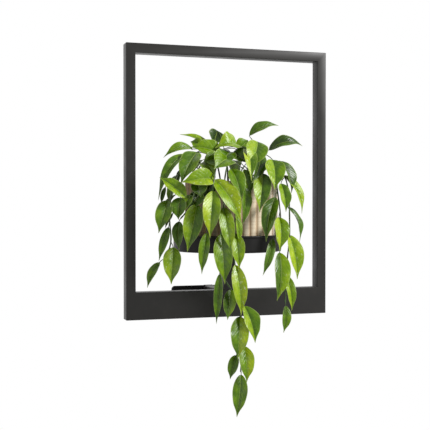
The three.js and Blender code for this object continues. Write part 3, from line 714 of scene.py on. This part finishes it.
def waxy_leaf():
    """Green to lime by each leaf half's tone, its green with painted light and shade, with a pale midrib,
    side veins, margin and tip, pale streaks partly painted as sheen, and painted highlight flecks.
    """
    material, shader, place = new_material("waxy_leaf")
    chart = place.add("ShaderNodeUVMap", {"uv_map": "blade"})
    across, along = [place.add("ShaderNodeSeparateXYZ", None, {"Vector": chart}, axis) for axis in "XY"]
    tint = place.add("ShaderNodeAttribute", {"attribute_name": "tint"}, None, "Color")
    tone, under, own = [place.add("ShaderNodeSeparateColor", None, {"Color": tint}, part)
                        for part in ("Red", "Green", "Blue")]
    off = abs(across * 2 - 1)
    slant = (along - 0.3 * off ** 1.3) * 8 + own
    ridge = abs(slant.math("FRACT", slant) - 0.5) * 2
    side_vein = ridge.between(0.0, 0.22, 1.0, 0.0) * off.between(0.0, 0.9, 1.0, 0.3)
    blotch = place.grain(75, 3)
    streaks = place.add("ShaderNodeCombineXYZ", None, {"X": off * 3, "Y": slant * 2.6, "Z": own * 9})
    streaks = streaks.grain(1.0, 4).between(0.58, 0.74)
    # each half's tone is its green with painted light and shade
    shade = tone + (blotch - 0.5) * 0.5 - 0.12 * off.between(0.0, 0.5, 1.0, 0.0)
    body = shade.add("ShaderNodeValToRGB", {"stops": [
        (0.0, (0.014, 0.040, 0.0002)), (0.3, (0.068, 0.156, 0.0003)), (0.55, (0.176, 0.310, 0.0006)),
        (0.8, (0.360, 0.485, 0.010)), (1.0, (0.540, 0.640, 0.070))]}, {"Fac": shade})
    body = (side_vein * 0.06).colours(body, (0.34, 0.44, 0.05))
    # pale lime streaks along the veins: the leaf's own variegation, partly painted sheen that grows with the
    # half's painted light
    body = (streaks * tone * 0.6).colours(body, (0.56, 0.66, 0.18))
    # pale flecks on the lighter halves are painted highlights
    flecks = place.grain(230, 2, (1, 1, 0.6)).between(0.62, 0.70) * tone.between(0.45, 0.8)
    body = (flecks * 0.65).colours(body, (0.74, 0.80, 0.52))
    edge = off.between(0.88, 0.98) + along.between(0.88, 1.0)
    edge = edge.math("MINIMUM", edge, 1.0)
    body = (edge * 0.5).colours(body, (0.46, 0.56, 0.16))
    midrib = off.between(0.025, 0.06, 1.0, 0.0)
    body = (midrib * 0.5).colours(body, (0.42, 0.54, 0.14))
    body = (under * 0.55).colours(body, (0.17, 0.27, 0.06))
    puff = ridge.between(0.0, 0.6) * 0.16 + blotch * 0.9 - midrib * 0.4
    feed(shader, Base_Color=body, Roughness=blotch.between(0.3, 0.7, 0.22, 0.36) + under * 0.25,
         Normal=puff.relief(0.0016, 0.7), Specular_IOR_Level=0.27)
    return material


def green_stem():
    """Waxy green stalk, browner in places, with fine lengthwise flecks."""
    material, shader, place = new_material("green_stem")
    patches = place.grain(45, 3)
    flecks = place.grain(500, 2, (1, 1, 0.15))
    body = patches.between(0.4, 0.68).colours((0.055, 0.115, 0.018), (0.045, 0.048, 0.018))
    body = (flecks.between(0.5, 0.8) * 0.35).colours(body, (0.16, 0.24, 0.06))
    feed(shader, Base_Color=body, Roughness=0.42, Normal=flecks.relief(0.0001, 0.5))
    return material


def heading(face, lift):
    """The direction that a leaf looks: 0 is the room and 90 the right, then so far up, in degrees."""
    turn, tilt = math.radians(face), math.radians(lift)
    return Vector((math.sin(turn) * math.cos(tilt), -math.cos(turn) * math.cos(tilt), math.sin(tilt)))


def eased(share):
    """A share of the leaf's length, drawn towards its ends, where the outline turns fastest."""
    return 0.5 * share + 0.25 * (1 - math.cos(math.pi * share))


def leaf_blade(base, tip, width, face, lift, arch, tones):
    """One leaf as a closed thin blade. Each half bows up from the midrib and its margin waves a little."""
    blade = bmesh.new()
    chart = blade.loops.layers.uv.new("blade")
    tint = blade.loops.layers.float_color.new("tint")
    bmesh.ops.create_grid(blade, x_segments=LEAF_COLUMNS, y_segments=LEAF_ROWS, size=1)
    own = random.random()
    for leaf_face in blade.faces:
        tone = tones[0] if leaf_face.calc_center_median().x > 0 else tones[1]
        for loop in leaf_face.loops:
            loop[chart].uv = ((loop.vert.co.x + 1) / 2, eased((loop.vert.co.y + 1) / 2))
            loop[tint] = (tone, 0, own, 1)
    length = (tip - base).length
    axis = (tip - base).normalized()
    up = heading(face, lift)
    up = (up - up.dot(axis) * axis).normalized()
    side = axis.cross(up)
    sweep = random.uniform(-LEAF_SWEEP, LEAF_SWEEP)
    waves = random.uniform(*MARGIN_WAVES)
    wave_height = random.uniform(*MARGIN_WAVE_HEIGHT)
    start = random.uniform(0, 2 * math.pi)
    for vert in blade.verts:
        off = vert.co.x
        along = eased((vert.co.y + 1) / 2)
        late = min(1, max(0, (along - DRIP_START) / DRIP_LENGTH))
        half = width / 2 * math.sin(math.pi * along ** LEAF_SWELL) ** LEAF_FULLNESS
        half *= 1 - DRIP_TIP * late * late * (3 - 2 * late)
        hump = 4 * along * (1 - along)
        rise = half * math.sin(LEAF_FOLD) * (1.5 * abs(off) - 0.5 * off * off)
        phase = start + 2 * math.pi * waves * along + (off > 0) * 2
        wave = wave_height * half * off * off * math.sin(phase)
        vert.co = (base.lerp(tip, along) + up * (hump * length * arch / 100 + rise + wave)
                   + side * (off * half * math.cos(LEAF_FOLD) + hump * sweep * length))
    bmesh.ops.remove_doubles(blade, verts=blade.verts, dist=1e-5)
    bmesh.ops.recalc_face_normals(blade, faces=blade.faces)
    if sum((f.normal.dot(up) * f.calc_area() for f in blade.faces), 0.0) < 0:
        bmesh.ops.reverse_faces(blade, faces=blade.faces)
    blade.normal_update()
    lower = bmesh.ops.duplicate(blade, geom=blade.verts[:] + blade.edges[:] + blade.faces[:])["geom"]
    under = [item for item in lower if isinstance(item, bmesh.types.BMFace)]
    bmesh.ops.translate(blade, verts=[item for item in lower if isinstance(item, bmesh.types.BMVert)],
                        vec=-LEAF_THICKNESS * up)
    bmesh.ops.reverse_faces(blade, faces=under)
    for leaf_face in under:
        for loop in leaf_face.loops:
            loop[tint] = (loop[tint][0], 1, loop[tint][2], 1)
    open_edges = [edge for edge in blade.edges if edge.is_boundary]
    rim = set(bmesh.ops.bridge_loops(blade, edges=open_edges)["faces"])
    for leaf_face in rim:
        for loop in leaf_face.loops:
            pattern = next(other for other in loop.vert.link_loops if other.face not in rim)
            loop[chart].uv = pattern[chart].uv
            loop[tint] = pattern[tint]
    return blade


CURVE_STEPS = 6


def smooth_line(points):
    """Points along a centripetal curve that passes through the given ones."""
    ends = [2 * points[0] - points[1], *points, 2 * points[-1] - points[-2]]
    line = [points[0]]
    for one, two, three, four in zip(ends, ends[1:], ends[2:], ends[3:]):
        before, here, after = [(end - start).length ** 0.5
                               for start, end in ((one, two), (two, three), (three, four))]
        enter = (two - one) / before - (three - one) / (before + here) + (three - two) / here
        leave = (three - two) / here - (four - two) / (here + after) + (four - three) / after
        line += interpolate_bezier(two, two + enter * here / 3, three - leave * here / 3, three,
                                   CURVE_STEPS + 1)[1:]
    return line


# Each vine is its root on the soil, the places that its stem passes, and its leaves, in millimetres from
# the tray's axis and the ribbed pot's rim: x to the right and y towards the wall. A leaf is its base, its
# tip, its width, the heading that it faces and how far it looks up in degrees, its arch in hundredths of
# its length, and the tones of its left and right halves, from 0, deep green, to 1, lime. Each tone is the
# half's green with the light or shade that falls on it painted in.
VINES = {
    "crown_left": {
        "root": (-35, -20),
        "stem": [(-44, -24, 29), (-52, -32, 51), (-62, -40, 61)],
        "leaves": [
            (-90, -35, 70, -159, -45, 50, 28, -10, 45, 20, 0.46, 0.49),
            (-42, 5, 86, -105, 20, 106, 23, 0, 60, 4, 0.6, 0.6),
            (-59, -5, 78, -85, 5, 89, 28, -20, 20, 10, 0.45, 0.45),
            (-32, -55, 57, -100, -50, 73, 46, -10, 32, 12, 0.51, 0.55),
            (-100, -45, 57, -178, -77, -42, 27, -30, 35, 28, 0.34, 0.3),
            (-88, -60, 62, -136, -103, -8, 46, -25, 30, 12, 0.31, 0.39),
            (-76, -75, 41, -62, -101, 11, 44, -10, 40, 8, 0.59, 0.56),
        ],
    },
    "crown_centre": {
        "root": (0, -5),
        "stem": [(-4, -10, 29), (-10, -18, 51), (-12, -12, 75)],
        "leaves": [
            (-18, 15, 115, -33, -3, 83, 44, -10, -20, 0, 0.02, 0.05),
            (13, -35, 74, -49, -63, 71, 55, -10, 38, 26, 0.65, 0.59),
            (17, -25, 71, 44, -15, 94, 40, 0, 12, 3, 0.49, 0.41),
            (-44, -82, 46, -83, -89, 40, 42, -10, 30, 5, 0.39, 0.31),
            (-24, -82, 47, -69, -123, 23, 54, -5, 32, 12, 0.49, 0.39),
            (-16, -65, 64, -45, -95, 32, 46, -15, 25, 8, 0.3, 0.34),
            (-11, -65, 61, 16, -92, 39, 56, 10, 25, 8, 0.33, 0.17),
            (-26, -106, 25, -14, -139, -40, 40, 5, 30, 10, 0.4, 0.35),
        ],
    },
    "crown_right": {
        "root": (40, -15),
        "stem": [(42, -18, 29), (48, -30, 51), (56, -40, 63)],
        "leaves": [
            (47, -15, 104, 117, -15, 128, 30, 0, 50, 16, 0.39, 0.27),
            (86, -35, 71, 165, -40, 81, 36, 0, 45, 24, 0.19, 0.11),
            (46, -74, 86, 15, -112, 25, 52, 5, 45, 10, 0.66, 0.38),
            (24, -63, 71, 12, -128, -2, 33, 0, 35, 18, 0.8, 0.4),
            (52, -75, 68, 11, -132, -6, 32, 25, 15, 6, 0.11, 0.14),
            (70, -100, 46, 59, -142, -20, 48, -2, 35, 10, 0.66, 0.38),
        ],
    },
    "vine_left": {
        "root": (-50, -30),
        "stem": [(-85, -60, 42), (-125, -85, 29), (-152, -97, -17), (-158, -95, -73), (-156, -95, -133),
                 (-168, -90, -165)],
        "leaves": [
            (-131, -65, 11, -156, -73, -4, 8, -20, 20, 5, 0.1, 0.1),
            (-131, -125, -36, -182, -103, 6, 35, -15, 40, 4, 0.47, 0.63),
            (-162, -100, -42, -188, -120, -110, 37, -25, 20, 10, 0.35, 0.35),
            (-161, -70, -14, -172, -77, -50, 11, -30, 0, 3, 0.11, 0.14),
            (-148, -85, -69, -167, -90, -101, 10, -50, 0, 4, 0.1, 0.1),
            (-160, -95, -98, -186, -113, -168, 20, -30, 10, 6, 0.35, 0.35),
            (-152, -100, -140, -162, -123, -216, 41, -20, 15, 8, 0.63, 0.47),
            (-177, -85, -172, -206, -95, -224, 22, -45, 15, 10, 0.4, 0.35),
            (-135, -86, 21, -143, -92, -14, 10, -40, 10, 4, 0.1, 0.1),
        ],
    },
    "vine_left_front": {
        "root": (-45, -40),
        "stem": [(-86, -84, 32), (-100, -106, 15), (-112, -121, -28), (-128, -119, -65), (-138, -109, -80)],
        "leaves": [
            (-140, -113, -36, -146, -121, -82, 36, -25, 20, 6, 0.29, 0.26),
            (-116, -114, -31, -140, -124, -72, 28, -40, 30, 8, 0.53, 0.37),
            (-102, -112, -2, -98, -122, -35, 38, -10, 20, 6, 0.21, 0.29),
            (-106, -121, -50, -134, -146, -148, 44, -20, 20, 8, 0.56, 0.29),
            (-141, -107, -86, -146, -127, -145, 26, -25, 20, 10, 0.21, 0.24),
            (-95, -112, -25, -120, -118, -61, 34, -15, 20, 8, 0.11, 0.19),
        ],
    },
    "vine_front_left": {
        "root": (-30, -50),
        "stem": [(-55, -98, 33), (-68, -123, 9), (-78, -133, -33), (-86, -137, -83), (-91, -139, -105)],
        "leaves": [
            (-64, -112, 5, -142, -129, -5, 44, -15, 22, 10, 0.57, 0.68),
            (-65, -113, 2, -18, -150, -88, 46, -5, 30, 14, 0.57, 0.73),
            (-75, -136, -22, -90, -162.4, -120, 40, -12, 20, 8, 0.77, 0.48),
            (-91, -141, -109, -105, -153, -194, 24, -20, 10, 6, 0.44, 0.36),
            (-66, -108, -2, -92, -119, -37, 32, -15, 25, 8, 0.1, 0.12),
        ],
    },
    "vine_front": {
        "root": (-15, -55),
        "stem": [(-35, -106, 30), (-44, -118, 3), (-48, -124, -38), (-51, -134, -65), (-58, -139, -108),
                 (-62, -137, -153), (-55, -137, -198), (-40, -137, -223)],
        "leaves": [
            (-53, -137, -56, -46, -164.4, -149, 34, -8, 20, 8, 0.56, 0.59),
            (-61, -143, -112, -58, -162.4, -215, 42, -12, 15, 8, 0.48, 0.36),
            (-62, -139, -195, -73, -151, -298, 20, -25, 10, 5, 0.3, 0.3),
            (-37, -139, -228, -50, -155, -290, 29, -10, 15, 6, 0.23, 0.47),
        ],
    },
    "vine_front_long": {
        "root": (5, -57),
        "stem": [(-8, -108, 30), (-12, -119, -1), (-20, -121, -43), (-27, -135, -81), (-30, -143, -173),
                 (-14, -137, -243), (-14, -137, -288), (-10, -135, -343), (-14, -134, -403)],
        "leaves": [
            (0, -115, 24, 14, -120, -32, 29, 15, 10, 0, 0.38, 0.22),
            (0, -122, -12, -10, -134, -94, 27, 20, 5, 5, 0.3, 0.3),
            (-26, -139, -71, -24, -151, -135, 18, 20, 10, 5, 0.55, 0.51),
            (-29, -143, -111, -26, -160.4, -185, 33, -5, 20, 10, 0.64, 0.56),
            (-30, -145, -176, -22, -160.4, -281, 34, -8, 12, 7, 0.7, 0.74),
            (-18, -141, -285, -30, -162.4, -372, 42, -10, 15, 8, 0.35, 0.75),
            (-7, -137, -264, 11, -155, -340, 42, 15, 15, 10, 0.66, 0.34),
            (-8, -139, -348, -9, -158.4, -421, 35, -5, 15, 8, 0.44, 0.76),
            (-24, -135, -367, -42, -147, -415, 25, -35, 10, 7, 0.34, 0.3),
            (-14, -137, -408, -29, -153, -493.7, 34, -15, 10, 6, 0.35, 0.4),
        ],
    },
    "vine_right": {
        "root": (25, -45),
        "stem": [(60, -90, 35), (76, -104, 11), (78, -108, -18), (84, -112, -75), (83, -113, -151)],
        "leaves": [
            (65, -65, 44, 32, -90, 15, 28, -10, 10, 3, 0.21, 0.24),
            (46, -107, 16, 25, -143, -67, 42, -5, 30, 10, 0.65, 0.2),
            (69, -119, -35, 38, -147, -130, 36, -30, 15, 14, 0.17, 0.33),
            (81, -111, -78, 73, -135, -150, 38, 5, 25, 12, 0.77, 0.53),
            (64, -119, -124, 33, -141, -201, 21, 0, 15, 6, 0.26, 0.29),
            (82, -113, -154, 67, -135, -256, 41, 5, 15, 10, 0.24, 0.6),
        ],
    },
    "vine_right_outer": {
        "root": (40, -35),
        "stem": [(85, -70, 37), (105, -80, 13), (112, -88, -23), (113, -92, -73), (110, -99, -123),
                 (100, -104, -198), (99, -103, -263)],
        "leaves": [
            (97, -75, 45, 117, -93, -26, 42, 35, 25, 12, 0.24, 0.16),
            (106, -73, 14, 145, -85, -71, 28, 25, 30, 16, 0.69, 0.66),
            (91, -97, -5, 94, -119, -67, 31, 10, 20, 10, 0.61, 0.33),
            (114, -81, -56, 138, -89, -133, 30, 45, 20, 14, 0.21, 0.24),
            (111, -95, -117, 122, -115, -213, 41, 12, 25, 10, 0.73, 0.61),
            (99, -107, -204, 107, -121, -280, 25, 5, 15, 8, 0.68, 0.52),
            (100, -103, -271, 91, -113, -328, 24, 10, 10, 8, 0.31, 0.39),
        ],
    },
    "vine_back_left": {
        "root": (-30, 25),
        "stem": [(-60, 60, 37), (-84, 86, 21), (-96, 96, -23)],
        "leaves": [
            (-62, 40, 49, -92, 78, 39, 36, -140, 45, 10, 0.4, 0.35),
            (-85, 88, 17, -106, 112, -53, 36, -145, 20, 8, 0.4, 0.35),
            (-40, 66, 51, -48, 120, 21, 34, -165, 45, 12, 0.4, 0.35),
            (-96, 94, -28, -124, 104, -95, 32, -125, 15, 8, 0.4, 0.35),
        ],
    },
    "vine_back_right": {
        "root": (30, 25),
        "stem": [(60, 60, 37), (84, 86, 21), (98, 94, -33)],
        "leaves": [
            (68, 45, 49, 116, 76, 25, 36, 120, 45, 12, 0.4, 0.35),
            (86, 86, 15, 106, 112, -55, 36, 145, 20, 8, 0.4, 0.35),
            (44, 66, 51, 56, 120, 15, 34, 165, 45, 12, 0.4, 0.35),
            (98, 92, -38, 128, 100, -105, 32, 130, 15, 8, 0.4, 0.35),
            (10, 56, 55, 12, 116, 37, 34, 180, 50, 12, 0.4, 0.35),
        ],
    },
}

STEM_RADIUS = 0.0016
STALK_RADIUS = 0.0009
STALK_START_ABOVE_LEAF = 0.012
STALK_BEND = 0.12                        # rise of its middle, of its length
STALK_MIDDLE = 0.55
STALK_INTO_LEAF = 0.05
ROOT_RISE = 4.4                          # stem radii that a root goes straight up
ROOT_CLEARANCE = 0.0003
leaf_green = waxy_leaf()
stem_green = green_stem()
rim_place = Vector((tray_middle.x, tray_middle.y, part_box("ribbed_pot")[1].z))
for name, vine in VINES.items():
    root_x, root_y = vine["root"]
    root = Vector((rim_place.x + root_x * MILLIMETRE, rim_place.y + root_y * MILLIMETRE,
                   soil_top + ROOT_CLEARANCE))
    stem_line = smooth_line([root, root + Vector((0, 0, ROOT_RISE * STEM_RADIUS)),
                             *[rim_place + Vector(point) * MILLIMETRE for point in vine["stem"]]])
    places = [start.lerp(end, share) for start, end in zip(stem_line, stem_line[1:])
              for share in (0.25, 0.5, 0.75, 1)]
    stems = bmesh.new()
    stems.from_mesh(bead(stem_line, STEM_RADIUS, False, 0.3))
    leaves = bmesh.new()
    for bx, by, bz, tx, ty, tz, width, face, lift, arch, left_tone, right_tone in vine["leaves"]:
        base = rim_place + Vector((bx, by, bz)) * MILLIMETRE
        tip = rim_place + Vector((tx, ty, tz)) * MILLIMETRE
        blade = leaf_blade(base, tip, width * MILLIMETRE, face, lift, arch, (left_tone, right_tone))
        blade_data = bpy.data.meshes.new("blade")
        blade.to_mesh(blade_data)
        blade.free()
        leaves.from_mesh(blade_data)
        wanted = base + Vector((0, 0, STALK_START_ABOVE_LEAF))
        chosen = min(range(len(places)), key=lambda i: (places[i] - wanted).length)
        start = places[chosen]
        del places[max(0, chosen - 1):chosen + 2]
        middle = start.lerp(base, STALK_MIDDLE) + Vector((0, 0, STALK_BEND * (base - start).length))
        stalk = smooth_line([start, middle, base, base.lerp(tip, STALK_INTO_LEAF)])
        stems.from_mesh(bead(stalk, STALK_RADIUS, False, 0.2))
    finished(f"{name}_leaves", leaves, leaf_green, "plant", "leaf_green", name)
    finished(f"{name}_stems", stems, stem_green, "plant", "leaf_green", name)


# ---------------------------------------------------------------- floor
# The planter hangs on a wall, so the pale floor lies well below it. It is one plain, matt sheet that takes
# the lamps' soft shading.

def pale_floor():
    material, shader, place = new_material("pale_floor")
    feed(shader, Base_Color=place.grain(3).colours((0.80, 0.80, 0.79), (0.84, 0.84, 0.83)), Roughness=0.7)
    return material


FLOOR_HALF_SIDE = 2
FLOOR_MIDDLE = (0, -0.2, -1.2)
ground = bmesh.new()
bmesh.ops.create_grid(ground, x_segments=1, y_segments=1, size=FLOOR_HALF_SIDE)
bmesh.ops.translate(ground, verts=ground.verts, vec=FLOOR_MIDDLE)
ground_data = bpy.data.meshes.new("floor")
ground.to_mesh(ground_data)
ground.free()
ground_data.materials.append(pale_floor())
floor = bpy.data.objects.new("floor", ground_data)
bpy.context.scene.collection.objects.link(floor)
